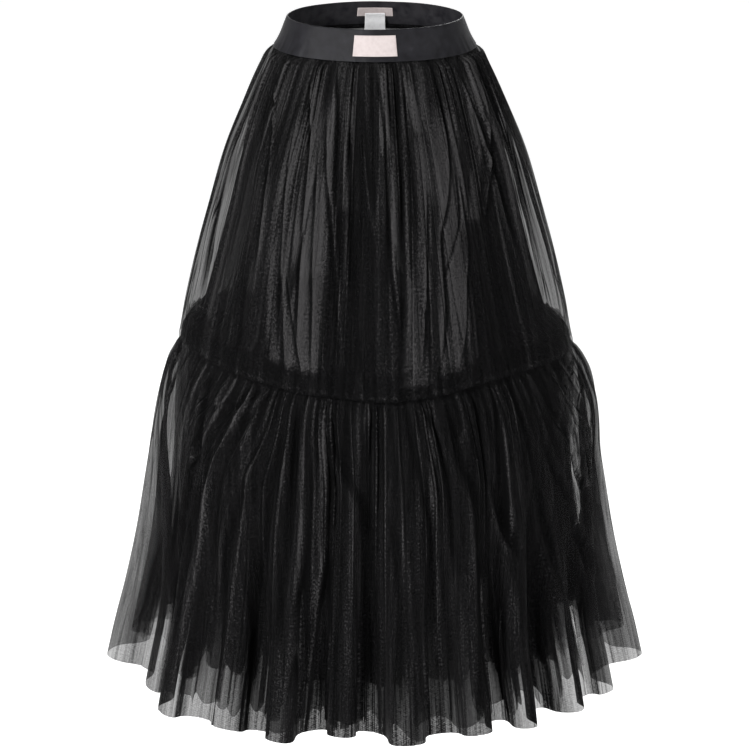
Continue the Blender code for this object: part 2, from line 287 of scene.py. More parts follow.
def make_world():
    """Even white surroundings, which light the skirt softly from every side."""
    world = bpy.data.worlds.new("studio")
    world.use_nodes = True
    background = world.node_tree.nodes["Background"]
    background.inputs["Color"].default_value = (1.0, 1.0, 1.0, 1.0)
    background.inputs["Strength"].default_value = 0.35
    bpy.context.scene.world = world


def make_floor():
    """A wide pale floor that also glows a little, so that it stays white all over."""
    half = FLOOR_SIZE / 2
    corners = np.array([[-half, -half], [half, -half], [half, half], [-half, half]])
    points = np.column_stack((corners, np.full(4, WAIST_DROP - FLOOR_DROP)))
    floor = mesh_piece("floor", points, np.array([[0, 1, 2, 3]]), smooth=False)
    material = bpy.data.materials.new("pale_floor")
    material.use_nodes = True
    shader = material.node_tree.nodes["Principled BSDF"]
    shader.inputs["Base Color"].default_value = (0.82, 0.82, 0.82, 1.0)
    shader.inputs["Roughness"].default_value = 0.9
    shader.inputs["Emission Color"].default_value = (1.0, 1.0, 1.0, 1.0)
    shader.inputs["Emission Strength"].default_value = 0.70
    floor.data.materials.append(material)


def add_lamp(name, place_at, aim, size, power):
    """A square soft lamp at a place, turned towards another."""
    lamp_data = bpy.data.lights.new(name, "AREA")
    lamp_data.size = size
    lamp_data.energy = power
    lamp = bpy.data.objects.new(name, lamp_data)
    lamp.location = place_at
    aim_way = np.array(aim) - np.array(place_at)
    level = np.hypot(aim_way[0], aim_way[1])
    lamp.rotation_euler = (np.arctan2(level, -aim_way[2]), 0, np.arctan2(-aim_way[0], aim_way[1]))
    bpy.context.scene.collection.objects.link(lamp)


make_world()
make_floor()
add_lamp("key", (-2.8, -2.6, 2.0), (0, 0, -0.35), 1.4, 190)
add_lamp("fill", (3.0, -2.8, 0.6), (0, 0, -0.4), 1.8, 50)
add_lamp("rear", (0.8, 3.6, 1.6), (0, 0, -0.4), 1.8, 80)
scene = bpy.context.scene
scene.view_settings.view_transform = "Standard"
scene.cycles.transparent_max_bounces = 64
print("floor at", round(WAIST_DROP - FLOOR_DROP, 2), "m")

# %% [markdown]
# ## The finish of the net
#
# Net is a lattice of thin black threads round small six-sided holes. One shader node group draws
# that lattice from the UV map: three cosine waves, sixty degrees apart, add up to a pattern that
# is highest in the middle of each hole. A second group gives slow clouds, upright streaks and a
# fine grain, because threads are never laid quite evenly. A third draws the edges of pleats, which
# are thinner than the mesh can show, as a line of painted shade with a painted highlight beside
# it. The groups put out plain numbers.
#
# The material adds them to two stored values. One is the cover, which feeds Alpha. The other is
# called *light*: how much of the lamps' light a place catches, which a colour ramp turns into a
# tone from black to dark grey. A pleat's dark edge thickens the cover too, as the net is double
# there.

# %% Node helpers
BUMP_DISTANCE = 0.0002
LEVEL_NAMES = {"specular": "Specular IOR Level", "sheen": "Sheen Weight"}


def add_node(tree, kind, **settings):
    """A node of this kind with its properties set."""
    node = tree.nodes.new(kind)
    for name, value in settings.items():
        setattr(node, name, value)
    return node


def feed(tree, socket, value):
    """Give a socket a number, or link it to another node's output."""
    if isinstance(value, (int, float)):
        socket.default_value = value
    else:
        tree.links.new(value, socket)


def math_node(tree, operation, first, second=None, clamp=False):
    """A math node whose inputs are numbers or the outputs of other nodes."""
    node = add_node(tree, "ShaderNodeMath", operation=operation, use_clamp=clamp)
    for socket, value in zip(node.inputs, (first, second)):
        if value is not None:
            feed(tree, socket, value)
    return node.outputs[0]


def plus(tree, first, second):
    """The sum of two numbers or outputs."""
    return math_node(tree, "ADD", first, second)


def times(tree, first, second):
    """The product of two numbers or outputs."""
    return math_node(tree, "MULTIPLY", first, second)


def noise_of(tree, vector, scale, detail=2.0):
    """Blender's noise, from about nought to one, at a scale and with a number of finer steps."""
    noise = add_node(tree, "ShaderNodeTexNoise")
    for name, value in (("Vector", vector), ("Scale", scale), ("Detail", detail)):
        feed(tree, noise.inputs[name], value)
    return noise.outputs["Fac"]


def stored_value(tree, name):
    """The number that the mesh stores at each point under this name."""
    return add_node(tree, "ShaderNodeAttribute", attribute_name=name).outputs["Fac"]


def uv_place(tree, name):
    """The place in a UV map."""
    return add_node(tree, "ShaderNodeUVMap", uv_map=name).outputs["UV"]


def split_axes(tree, vector):
    """The X, Y and Z outputs of a vector."""
    split = add_node(tree, "ShaderNodeSeparateXYZ")
    tree.links.new(vector, split.inputs[0])
    return split.outputs


def new_material(name, roughness, **levels):
    """A material with a roughness and other levels of its shader: material, tree and shader."""
    material = bpy.data.materials.new(name)
    material.use_nodes = True
    shader = material.node_tree.nodes["Principled BSDF"]
    shader.inputs["Roughness"].default_value = roughness
    for level, value in levels.items():
        shader.inputs[LEVEL_NAMES[level]].default_value = value
    return material, material.node_tree, shader


def colour_by(tree, shader, value, stops):
    """Feed the base colour from a ramp with these stops, each a position and a colour."""
    ramp = add_node(tree, "ShaderNodeValToRGB")
    elements = ramp.color_ramp.elements
    for number, (position, colour) in enumerate(stops):
        element = elements[number] if number < 2 else elements.new(position)
        element.position, element.color = position, (*colour, 1)
    tree.links.new(value, ramp.inputs["Fac"])
    tree.links.new(ramp.outputs["Color"], shader.inputs["Base Color"])


def bump_by(tree, shader, height, strength):
    """Bend the surface's normal by a height, as fine relief."""
    bump = add_node(tree, "ShaderNodeBump")
    for name, value in (("Strength", strength), ("Distance", BUMP_DISTANCE), ("Height", height)):
        feed(tree, bump.inputs[name], value)
    tree.links.new(bump.outputs["Normal"], shader.inputs["Normal"])


def new_group(name, inputs, outputs):
    """A node group with number inputs (name and default) and outputs (name and socket kind)."""
    group = bpy.data.node_groups.new(name, "ShaderNodeTree")
    for socket_name, kind, default in inputs:
        socket = group.interface.new_socket(socket_name, in_out="INPUT", socket_type=kind)
        if default is not None:
            socket.default_value = default
    for socket_name, kind in outputs:
        group.interface.new_socket(socket_name, in_out="OUTPUT", socket_type=kind)
    given, result = group.nodes.new("NodeGroupInput"), group.nodes.new("NodeGroupOutput")
    return group, given.outputs, result.inputs


def use_group(tree, group, **values):
    """Place a group in a material with its own values."""
    node = tree.nodes.new("ShaderNodeGroup")
    node.node_tree = group
    for name, value in values.items():
        node.inputs[name.replace("_", " ").capitalize()].default_value = value
    return node


print("fine relief is", BUMP_DISTANCE * 1000, "mm deep")

# %% Node groups for the lattice, the unevenness and the edges of pleats
# Of each noise: its name, how much finer it is than the streaks' number, its stretch and its detail
NOISES = (("Cloud", 1.0, 0.12, 4.0), ("Streak", 4.5, 0.03, 2.0), ("Grain", 7.2, 0.80, 2.0))
NOISE_CONTRAST = 2.2
# Of the painted highlight and the painted shade line of a pleat's edge: middle and width in
# pleats, and height
EDGE_LINES = ((0.11, 0.045, 1.0), (0.0, 0.050, -1.2))


def make_lattice_group():
    """Three cosines sixty degrees apart: about one on the threads and nought in the holes."""
    vector, number = "NodeSocketVector", "NodeSocketFloat"
    inputs = (("Cloth", vector, None), ("Hole size", number, 0.0018))
    group, given, result = new_group("net_lattice", inputs, (("Thread", number),))
    scale = math_node(group, "DIVIDE", 2 * np.pi / np.cos(np.radians(30)), given["Hole size"])
    total = None
    for degrees in (0, 60, 120):
        turn = np.radians(degrees)
        dot = add_node(group, "ShaderNodeVectorMath", operation="DOT_PRODUCT")
        group.links.new(given["Cloth"], dot.inputs[0])
        dot.inputs[1].default_value = (np.cos(turn), np.sin(turn), 0)
        wave = math_node(group, "COSINE", times(group, dot.outputs["Value"], scale))
        total = wave if total is None else plus(group, total, wave)
    level = add_node(group, "ShaderNodeMapRange", interpolation_type="SMOOTHSTEP")
    group.links.new(total, level.inputs["Value"])
    for name, value in (("From Min", 1.4), ("From Max", -1.2), ("To Min", 0.0), ("To Max", 1.0)):
        level.inputs[name].default_value = value
    group.links.new(level.outputs["Result"], result["Thread"])
    return group


def make_cloud_group():
    """Three noises from nought to one: slow clouds, upright streaks and the net's fine grain."""
    vector, number = "NodeSocketVector", "NodeSocketFloat"
    inputs = (("Cloth", vector, None), ("Streaks", number, 60.0))
    outputs = [(noise[0], number) for noise in NOISES]
    group, given, result = new_group("uneven_threads", inputs, outputs)
    for name, finer, stretch, detail in NOISES:
        shape = add_node(group, "ShaderNodeVectorMath", operation="MULTIPLY")
        group.links.new(given["Cloth"], shape.inputs[0])
        shape.inputs[1].default_value = (1.0, stretch, 1.0)
        scale = times(group, given["Streaks"], finer)
        noise = noise_of(group, shape.outputs["Vector"], scale, detail)
        sharper = times(group, math_node(group, "SUBTRACT", noise, 0.5), NOISE_CONTRAST)
        group.links.new(plus(group, sharper, 0.5), result[name])
    return group


def make_pleat_group():
    """The edges of pleats, one at each whole number: a thin dark line and a light one beside it.

    The dark line is painted shade and the light one a painted highlight. Each line is a power of e
    that falls with the square of the way from its middle."""
    number = "NodeSocketFloat"
    inputs = (("Phase", number, 0.0), ("Strength", number, 1.0))
    group, given, result = new_group("pleat_edges", inputs, (("Edge", number),))
    away = math_node(group, "SUBTRACT", given["Phase"], math_node(group, "ROUND", given["Phase"]))
    lines = []
    for middle, width, height in EDGE_LINES:
        share = math_node(group, "DIVIDE", math_node(group, "SUBTRACT", away, middle), width)
        fall = times(group, times(group, share, share), -1.0)
        lines.append(times(group, math_node(group, "EXPONENT", fall), height))
    group.links.new(times(group, plus(group, *lines), given["Strength"]), result["Edge"])
    return group


LATTICE = make_lattice_group()
CLOUD = make_cloud_group()
PLEAT = make_pleat_group()
print("node groups", LATTICE.name, CLOUD.name, PLEAT.name)

# %% Materials of the net
# Share of the pleats' dark edges that thickens the cover
EDGE_COVER = 0.7


def net_material(name, colours, hole_size, streaks, alpha_shares, light_shares):
    """See-through net: the stored cover and light, made uneven by the lattice and the noises.

    The colours are those of net that gets no light, some and much, by the stored light. The shares
    say how much the threads, clouds, streaks and grain change the cover, and then the light."""
    material, tree, shader = new_material(name, 0.7, specular=0.04)
    uv = uv_place(tree, "cloth")
    lattice = use_group(tree, LATTICE, hole_size=hole_size)
    cloud = use_group(tree, CLOUD, streaks=streaks)
    tree.links.new(uv, lattice.inputs["Cloth"])
    tree.links.new(uv, cloud.inputs["Cloth"])
    patterns = (lattice.outputs[0], *cloud.outputs)
    uneven = [math_node(tree, "SUBTRACT", pattern, 0.5) for pattern in patterns]
    phases = split_axes(tree, uv_place(tree, "pleats"))
    rows = []
    for axis, stored in (("X", "short_pleats"), ("Y", "long_pleats")):
        pleat = use_group(tree, PLEAT)
        tree.links.new(phases[axis], pleat.inputs["Phase"])
        tree.links.new(stored_value(tree, stored), pleat.inputs["Strength"])
        rows.append(pleat.outputs[0])
    # The pleats' edge lines: painted shade and a painted highlight in the light, while the dark line
    # also thickens the cover, as the net is double there.
    edges = plus(tree, *rows)
    dark_edges = times(tree, math_node(tree, "MINIMUM", edges, 0.0), -EDGE_COVER)
    found = []
    parts = (("cover", alpha_shares, dark_edges), ("light", light_shares, edges))
    for stored, shares, edge in parts:
        total = stored_value(tree, stored)
        for value, share in zip(uneven, shares):
            total = plus(tree, total, times(tree, value, share))
        total = plus(tree, total, edge)
        found.append(math_node(tree, "MAXIMUM", math_node(tree, "MINIMUM", total, 1.0), 0.0))
    tree.links.new(found[0], shader.inputs["Alpha"])
    colour_by(tree, shader, found[1], zip((0.0, 0.5, 1.0), colours))
    return material


# Painted tones of net, unlit, half lit and lit, picked by the painted light; the dense net's tones are
# a little darker.
NET_COLOURS = ((0.0014, 0.0014, 0.0015), (0.0078, 0.0076, 0.0080), (0.0560, 0.0545, 0.0555))
DENSE_COLOURS = ((0.0012, 0.0012, 0.0013), (0.0060, 0.0059, 0.0064), (0.0480, 0.0468, 0.0480))
ALPHA_SHARES = (0.05, 0.12, 0.14, 0.12)
LIGHT_SHARES = (0.06, 0.22, 0.24, 0.70)
OUTER_NET = net_material("outer_net", NET_COLOURS, 0.0030, 60.0, ALPHA_SHARES, LIGHT_SHARES)
MIDDLE_NET = net_material("middle_net", NET_COLOURS, 0.0027, 54.0, ALPHA_SHARES, LIGHT_SHARES)
DENSE_NET = net_material("dense_net", DENSE_COLOURS, 0.0024, 48.0, ALPHA_SHARES, LIGHT_SHARES)
print("net materials", OUTER_NET.name, MIDDLE_NET.name, DENSE_NET.name)

# %% [markdown]
# ## Layers of net
#
# Every layer is made the same way, from a function that turns an even share of a turn and a drop
# into an angle, a reach, a number of plies, a light and two rows of pleats. The cells below hold
# what they share: building the grid, working out the cover, and printing the sheet's area beside
# the size that it was cut to. Towards the skirt's sides the lean counts less in the cover, because
# the net is spread out there and would otherwise look solid along the outline.
#
# Waves alone make folds look machined, so the longest creases are placed one by one as lines, each a
# trough with a ridge beside it. The trough gets painted shade and the ridge painted light. A worn
# seam is never level either: a table lets it wander.

# %% Turn a layer's function into a piece
# How much less the lean counts at the sides, the angle where it counts least, and the spread
LEAN_LOSS, LEAN_LOSS_ANGLE, LEAN_LOSS_SPREAD = 0.8, 92, 42


def net_layer(name, nodes, layer, top, bottom, rows, columns, clear, material, flat):
    """One open tube of net between two edges.

    layer(share, drop) gives angle, reach, plies, light and pleats. top and bottom are the drops of
    the edges as functions of the share. clear is the part of the light that one flat ply lets
    through, and the cover at a point is one less clear to the power of plies times lean. Pleats are
    the phases and strengths of two rows of pleats. Every grid ends with its first column again."""
    share, depth = np.meshgrid(np.linspace(0, 1, columns + 1), np.linspace(0, 1, rows))
    drop = top(share) + (bottom(share) - top(share)) * depth
    angle, reach, plies, light, (short, long, short_strength, long_strength) = layer(share, drop)
    low = drop + seam_wander(angle, drop)
    points = place(angle, low, reach)[:, :-1]
    plain = place(even_angle_of(share), low, np.zeros_like(drop))[:, :-1]
    facing = 1 - LEAN_LOSS * either_side(angle[:, :-1], LEAN_LOSS_ANGLE, LEAN_LOSS_SPREAD)
    cover = 1 - clear ** (plies[:, :-1] * (1 + facing * (lean_of(points, plain) - 1)))
    piece = mesh_piece(name, points, grid_faces(rows, columns, True))
    add_uv(piece, "cloth", share * flat[0], -drop)
    add_uv(piece, "pleats", short, long)
    stored = {"cover": cover, "light": light}
    stored.update(short_pleats=short_strength, long_pleats=long_strength)
    for attribute, values in stored.items():
        add_values(piece, attribute, np.clip(values[:, :columns], 0, 1))
    piece.data.materials.append(material)
    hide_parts(*nodes)
    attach(piece, "root")
    area, cut = sheet_area(points), flat[0] * flat[1]
    print(f"{name}: area {area:.3f} m2, cut {cut:.3f} m2, mean cover {cover.mean():.2f}")


print("right at the sides, the lean counts for", round(1 - LEAN_LOSS, 2), "of its full share")

# %% The seam's wander, creases placed by hand and other shared forms
# How far the ruffle's seam lies below its even line: angle, drop
SEAM_WANDER = (
    (-180, 0), (-140, 0.004), (-110, -0.004), (-74, -0.016), (-55, -0.0125), (-41, -0.009),
    (-31, -0.005), (-22, 0.001), (-6, 0.006), (1, 0.007), (18, 0.002), (34, -0.006), (53, -0.007),
    (86, -0.003), (120, 0.004), (150, -0.003), (180, 0),
)


def seam_wander(angle, drop):
    """How far the cloth sags or is pulled up round the seam: most at the seam, less away from it."""
    angles, offsets = np.array(SEAM_WANDER).T
    return smooth_through(angles, offsets, round_gap(angle, 0)) * bell(drop - SEAM_DROP, 0.16)


def crease_marks(angle, drop, creases):
    """Troughs, and the ridge beside each, along given lines. Returns reach and mark.

    A crease is given by its half width in degrees, its depth in millimetres, the side of its ridge,
    and the drops in millimetres and angles that its line runs through. Across it the trough and the
    ridge are bell curves, and the mark is the trough less a part of the ridge. The callers use the
    mark as painted shade in the trough and a painted highlight on the ridge; the trough also adds
    plies."""
    reach, mark = np.zeros_like(drop), np.zeros_like(drop)
    for half_width, depth, side, *line in creases:
        drops, angles = np.array(line).T
        drops = drops / 1000
        along = (drop - drops[0]) / (drops[-1] - drops[0])
        fade = ease(along, -0.04, 0.16) * (1 - ease(along, 0.78, 1.04))
        away = round_gap(angle, smooth_through(drops, angles, drop)) / half_width
        trough = np.exp(-away * away) * fade
        ridge = np.exp(-(((away - 1.9 * side) / 1.1) ** 2)) * fade
        reach = reach + depth / 1000 * (0.6 * ridge - trough)
        mark = mark + trough - 0.45 * ridge
    return reach, mark


def bands(angle, drop, fewest, most, drift, seed):
    """Long streaks of two tones with soft edges: uneven waves squeezed towards one and minus one."""
    return np.tanh(2.2 * ripple(angle, drop, fewest, most, drift, seed))


def patches(angle, drop, seed):
    """How strong pleats are from place to place: wide patches from a tenth to one."""
    return 0.55 + 0.45 * np.tanh(2 * ripple(angle, drop, 8, 30, 9.0, seed))


def even_edge(drop, wobble, fewest, most, seed):
    """An edge at a drop with a slight uneven wave round the skirt."""
    return lambda share: drop + wobble * level_ripple(360 * share, fewest, most, seed)


def gather_strength(gather, drop, start, full, lengths):
    """How deep a gather is: it rises below its seam and dies out, later for some than for others."""
    shortest, longest = lengths
    uneven = 0.5 + 0.5 * np.sin(2.4 * gather) * np.cos(0.83 * gather + 1.0)
    length = shortest + (longest - shortest) * uneven
    return ease(drop, start, full) * (1 - ease(drop, full, full + length)) * (0.75 + 0.25 * uneven)


seam_offsets = [offset for _, offset in SEAM_WANDER]
print("the seam wanders from", min(seam_offsets), "to", max(seam_offsets), "m")

# %% [markdown]
# ## The upper tier
#
# Two layers hang from the band. The outer one puffs out just under the band, where its gathers
# start, and falls in long soft folds to the seam. The under layer is less full, so it lies about
# two centimetres inside the outer one. It bunches in some places and lies open in others: the
# open places are the lighter windows in the photograph, and a table gives each as a long lens.
# There the outer net also gets painted light. The wide folds come from a short table, the same
# as in the CAD model. The longest creases are placed one by one, and the finest come from uneven
# waves; both get painted shade in their troughs.

# %% Wide folds, windows and creases of the upper tier
UPPER_GATHERS = 80
WAIST_GATHER_DEPTH = 0.0034

# Middle, half of the spread, reach
UPPER_FOLDS = (
    (-62, 16, -0.01), (-38, 15, 0.009), (-10, 14, -0.013), (14, 15, 0.009), (48, 16, -0.012),
    (72, 14, 0.006), (108, 15, -0.009), (134, 16, 0.009), (166, 15, -0.012), (194, 14, 0.008),
    (222, 16, -0.01), (248, 14, 0.007),
)

# Angle and half of the width at the top, then at the end, the drops of both, and how open it is
WINDOWS = (
    (-32.5, 6, -28, 3.7, 0.1, 0.418, 1), (-22, 4.4, -19.8, 4.7, 0.08, 0.42, 1),
    (-11.5, 3, -10, 2.6, 0.07, 0.22, 0.6), (3, 1.6, 6.2, 1.8, 0.045, 0.26, 0.95),
    (14.5, 2.2, 19.5, 2.4, 0.045, 0.125, 0.9), (19, 2.6, 14.5, 2.4, 0.115, 0.34, 0.9),
    (12.8, 0.4, 12, 4.6, 0.28, 0.432, 1), (31.5, 7, 22.2, 4.2, 0.09, 0.424, 0.95),
    (21.5, 2.2, 20.5, 2, 0.06, 0.2, 0.6), (56, 4.5, 37, 3.2, 0.055, 0.24, 0.75),
    (10.5, 1.8, 10, 1.8, 0.09, 0.33, 0.5), (-44, 4.5, -41, 4, 0.17, 0.33, 0.4),
    (-30, 3, -29, 2.4, 0.045, 0.13, 0.75), (-50, 3, -46, 2, 0.045, 0.12, 0.45),
    (78, 8, 76, 9, 0.12, 0.392, 0.6), (-72, 10, -68, 10, 0.1, 0.392, 0.6),
    (104, 8, 106, 9, 0.12, 0.39, 0.6), (128, 5, 134, 6, 0.09, 0.42, 0.95),
    (158, 3, 156, 3.4, 0.05, 0.3, 0.8), (176, 5, 174, 3, 0.09, 0.418, 0.95),
    (199, 4, 203, 5, 0.08, 0.42, 0.9), (216, 2, 213, 2.4, 0.05, 0.23, 0.7),
    (236, 6, 238, 4, 0.1, 0.415, 0.9), (262, 8, 258, 9, 0.12, 0.388, 0.6),
)

# Half width (degrees), depth (mm), side of the ridge, then drop (mm) and angle along the line
UPPER_CREASES = (
    (0.62, 3, 1, (55, -34.6), (165, -27), (255, -25.8), (321, -24.8), (376, -24), (430, -21.4)),
    (0.48, 2.2, 1, (140, -23.6), (225, -21.8), (268, -21.4), (343, -19.8), (440, -18.6)),
    (0.6, 2.6, 1, (100, -22.4), (223, -16.8), (318, -13.2), (410, -11)),
    (0.34, 1.4, 1, (300, -29.4), (357, -25.8), (393, -23.4), (430, -21)),
    (0.34, 1.4, 1, (100, -36), (260, -32.4), (420, -29)),
    (0.45, 2, 1, (100, 4), (250, 4.6), (380, 7.2)), (0.4, 1.8, -1, (180, 19), (300, 16.4), (420, 13.6)),
    (0.9, 4.5, -1, (120, -11), (200, -9.4), (340, -7.6)),
    (0.9, 4, 1, (45, 0.8), (100, 3.4), (160, 5.2), (310, 4.2)),
    (0.6, 3.4, -1, (60, 31.4), (122, 32.1), (157, 30.8),
     (203, 27.5), (260, 22.5), (340, 22), (430, 18.4)),
    (0.42, 2, 1, (170, 32.2), (233, 30.8), (251, 28.8), (278, 25.1), (320, 20.8)),
    (0.42, 2, -1, (170, 32.9), (260, 33.2), (324, 29.8), (383, 27.5), (430, 23.8)),
    (0.9, 4, -1, (60, 63), (144, 55.8), (260, 44)),
    (0.9, 4, 1, (60, -60), (150, -46), (220, -42), (300, -40)),
    (0.8, 3.5, 1, (300, -31.2), (360, -29.4), (430, -27)),
    (0.8, 4, -1, (50, -20), (120, -16), (220, -14.6)),
    (0.8, 4, 1, (50, 11), (130, 10.4), (260, 9), (400, 8)),
    (0.9, 4, -1, (50, 47), (130, 52), (300, 56)), (0.9, 4.5, 1, (60, 70), (180, 66), (360, 63)),
    (0.9, 4, -1, (60, -80), (200, -74), (400, -68)), (1, 5, 1, (60, 96), (180, 99), (380, 97)),
    (0.9, 4, -1, (50, 118), (160, 121), (400, 126)), (0.8, 3.5, 1, (70, 142), (200, 147), (420, 145)),
    (1, 5, -1, (50, 168), (150, 165), (300, 167), (420, 166)),
    (0.8, 4, 1, (100, 186), (220, 189), (420, 192)), (0.9, 4.5, -1, (50, 208), (160, 210), (360, 214)),
    (0.9, 4, 1, (60, 226), (180, 224), (400, 222)), (1, 4.5, -1, (80, 250), (200, 247), (400, 246)),
)

UPPER_OUTER_REACH = (
    (UPPER_TOP, -BAND_WALL - BAND_GAP - NET_WALL / 2),
    (UPPER_TURN, -BAND_WALL - BAND_GAP - NET_WALL / 2 - 0.002),
    (0.048, -0.003), (0.060, -0.004), (SEAM_DROP, -NET_WALL / 2),
)
UPPER_UNDER_REACH = (
    (UPPER_TOP, -0.00615), (UPPER_TURN, -0.00815), (0.060, -0.013), (0.150, -0.020),
    (0.300, -0.024), (0.395, -0.020), (0.431, -0.00335), (SEAM_DROP, -0.00335),
)
print(len(UPPER_FOLDS), "folds", len(WINDOWS), "windows", len(UPPER_CREASES), "creases")

# %% Folds, windows and gathers as functions
# The places above the seam where the seam allowance starts, and its line of stitches
ALLOWANCE_TOP = SEAM_DROP - 0.036
STITCH_DROP = SEAM_DROP - 0.006


def upper_fold_reach(angle, drop):
    """The upper tier's wide folds: soft bells round the skirt, which grow from the band down."""
    total = sum(
        reach * bell(round_gap(angle, middle), spread) for middle, spread, reach in UPPER_FOLDS
    )
    return total * ease(drop, 0.06, 0.25) * (1 - 0.55 * ease(drop, 0.30, SEAM_DROP))


def openness(angle, drop):
    """How open the bunched net is: long lens shapes with ragged edges, nought between them."""
    ragged = angle + 0.7 * ripple(angle, drop, 12, 40, 14.0, 11)
    ragged = ragged + 0.4 * ripple(angle, drop, 60, 110, 20.0, 12)
    open_most = np.zeros_like(drop)
    for top_angle, top_half, end_angle, end_half, top, end, most in WINDOWS:
        along = np.clip((drop - top) / (end - top), 0, 1)
        away = np.abs(round_gap(ragged, top_angle + (end_angle - top_angle) * along))
        across = 1 - ease(away / (top_half + (end_half - top_half) * along), 0.8, 1.15)
        fade = ease(drop, top - 0.01, top + 0.04) * (1 - ease(drop, end - 0.004, end + 0.006))
        open_most = np.maximum(open_most, most * across * fade)
    return open_most


def waist_gathers(share, drop, seed):
    """Uneven gathers below the band: a wave that stretches and bunches up round the skirt."""
    turn = 360 * share
    gather = UPPER_GATHERS * share + 0.55 * level_ripple(turn, 4, 26, seed)
    weight = np.clip(0.65 + 0.35 * level_ripple(turn, 10, 45, seed + 1), 0.15, 1.25)
    strength = gather_strength(gather, drop, UPPER_TURN, 0.049, (0.07, 0.40)) * weight
    return gather, strength


front_open = openness(np.linspace(-90, 90, 181), np.full(181, 0.2))
print("openness in front, 0.2 m below the band's top:", round(float(front_open.mean()), 2))

# %% The two layers of the upper tier


def upper_outer(share, drop):
    """The outer net: the sections, the wide folds, the gathers, placed creases and fine ones."""
    gather, strength = waist_gathers(share, drop, 21)
    ridge = np.cos(2 * np.pi * gather)
    angle = even_angle_of(share) + 0.5 * strength * np.sin(2 * np.pi * gather)
    loose = ease(drop, 0.05, 0.12) * (1 - 0.7 * ease(drop, 0.38, SEAM_DROP))
    pull, mark = crease_marks(angle, drop, UPPER_CREASES)
    soft = ripple(angle, drop, 12, 34, 6.0, 22)
    creases = crease_lines(ripple(angle, drop, 24, 70, 7.0, 23), 0.13)
    reach = reach_of(UPPER_OUTER_REACH, drop) + upper_fold_reach(angle, drop) + pull
    reach = reach + WAIST_GATHER_DEPTH * strength * ridge
    reach = reach + loose * (0.0018 * soft - 0.0016 * creases)
    window = openness(angle, drop)
    allowance = ease(drop, ALLOWANCE_TOP, ALLOWANCE_TOP + 0.006)
    stitches = 0.24 * bell(drop - STITCH_DROP, 0.004) - 0.30 * bell(drop - SEAM_DROP, 0.004)
    ticks = ripple(angle, drop, 90, 170, 60.0, 25) + ripple(angle, drop, 14, 50, 20.0, 28)
    ticks = ticks * allowance
    rows_of_pleats = (
        gather, 56 * share + 0.9 * ripple(angle, drop, 4, 22, 4.0, 26),
        0.42 * strength, 0.42 * loose * patches(angle, drop, 27),
    )
    plies = 1 + 0.5 * creases * loose + 0.9 * (strength * (1 - ridge) / 2 + np.clip(mark, 0, 1))
    # All of this is painted light: lighter towards the band, in the windows, on the gather ridges and
    # where the soft waves bulge out, with painted shade in the creases and the crease troughs and a
    # painted highlight on the crease ridges. Stitches draw a light line above the seam and a dark line
    # on it; the allowance is a little darker, and a strip down the middle of the front is darker too.
    light = 0.31 + 0.12 * ease(0.16 - drop, 0, 0.10) + 0.46 * window + 0.38 * strength * ridge
    light = light + 0.07 * soft + 0.07 * bands(angle, drop, 40, 110, 5.0, 24) - 0.34 * creases * loose
    light = light - 0.75 * mark + stitches * (1 + 0.2 * ticks) + 0.05 * ticks - 0.12 * allowance
    light = light - 0.14 * bell(round_gap(angle, -3), 9) * ease(drop, 0.12, 0.24)
    return angle, reach, plies, light, rows_of_pleats


def upper_under(share, drop):
    """The under layer: further in, most of all at the sides, and bunched between the windows."""
    gather, strength = waist_gathers(share, drop, 31)
    angle = even_angle_of(share)
    loose = ease(drop, 0.07, 0.16) * (1 - ease(drop, 0.40, LOWER_TOP + 0.02))
    at_sides = either_side(angle, 90, 45) * ease(drop, 0.10, 0.19)
    reach = reach_of(UPPER_UNDER_REACH, drop) + upper_fold_reach(angle, drop)
    reach = reach - 0.012 * loose * at_sides
    reach = reach + 0.0020 * strength * np.cos(2 * np.pi * gather) * ease(drop, 0.047, 0.062)
    reach = reach + loose * 0.0026 * ripple(angle, drop, 16, 40, 5.0, 32)
    creases = crease_lines(ripple(angle, drop, 30, 80, 8.0, 33), 0.18)
    window = openness(angle, drop)
    bunched = 1.7 * (1 - ease(window, 0.05, 0.45)) * ease(drop, 0.05, 0.14)
    bunched = bunched * (1 + 0.25 * ripple(angle, drop, 25, 60, 8.0, 34))
    plies = 1 + bunched + 0.8 * creases + 0.6 * strength
    # Painted light in the windows and painted shade in the creases.
    light = 0.24 + 0.62 * window + 0.07 * ripple(angle, drop, 20, 50, 6.0, 35) - 0.30 * creases
    light = light + 0.10 * bands(angle, drop, 50, 120, 5.0, 36)
    long_pleats = 58 * share + 0.8 * ripple(angle, drop, 4, 24, 4.0, 37)
    rows_of_pleats = (gather, long_pleats, 0.3 * strength, 0.32 * loose)
    return angle, reach, plies, light, rows_of_pleats


middle_front = upper_outer(np.array([[0.25]]), np.array([[0.2]]))
print("plies in front, 0.2 m below the band's top:", round(float(middle_front[2].item()), 2))

# %% Make the upper tier's layers
net_layer(
    "upper_outer_net", ("upper_outer_front", "upper_outer_back"), upper_outer,
    even_edge(UPPER_TOP, 0, 3, 9, 41), even_edge(SEAM_DROP, 0, 3, 9, 42),
    90, 1100, 0.42, OUTER_NET, (1.75, 0.45),
)
net_layer(
    "upper_under_net", ("upper_under_front", "upper_under_back"), upper_under,
    even_edge(UPPER_TOP, 0, 3, 9, 43), even_edge(SEAM_DROP, 0, 3, 9, 44),
    80, 960, 0.30, DENSE_NET, (1.60, 0.45),
)

# %% [markdown]
# ## The ruffle tier
#
# The ruffle is cut much wider than the seam that holds it, so it starts as a row of small gathers
# and falls into a few deep folds at the hem. Its top edge is turned up inside the upper tier. The
# folds' ridges and hollows stand in a table, which a curve runs through. Near the seam the columns
# are evenly spaced, and on the way down each one drifts to the place that its fold gives it. The
# gathers fan out sideways there, as another table says.
#
# Two linings hang inside, shorter and closer in, most of all at the sides. Their hems are ragged
# and thin out downwards. Folds lie over one another at the hem, in the middle more than at the
# sides, and a table of plies makes the cover darker there in place of cloth that is really folded.

# %% The ruffle's tables
GATHERS_PER_FOLD = 3
RUFFLE_GATHER_DEPTH = 0.0042

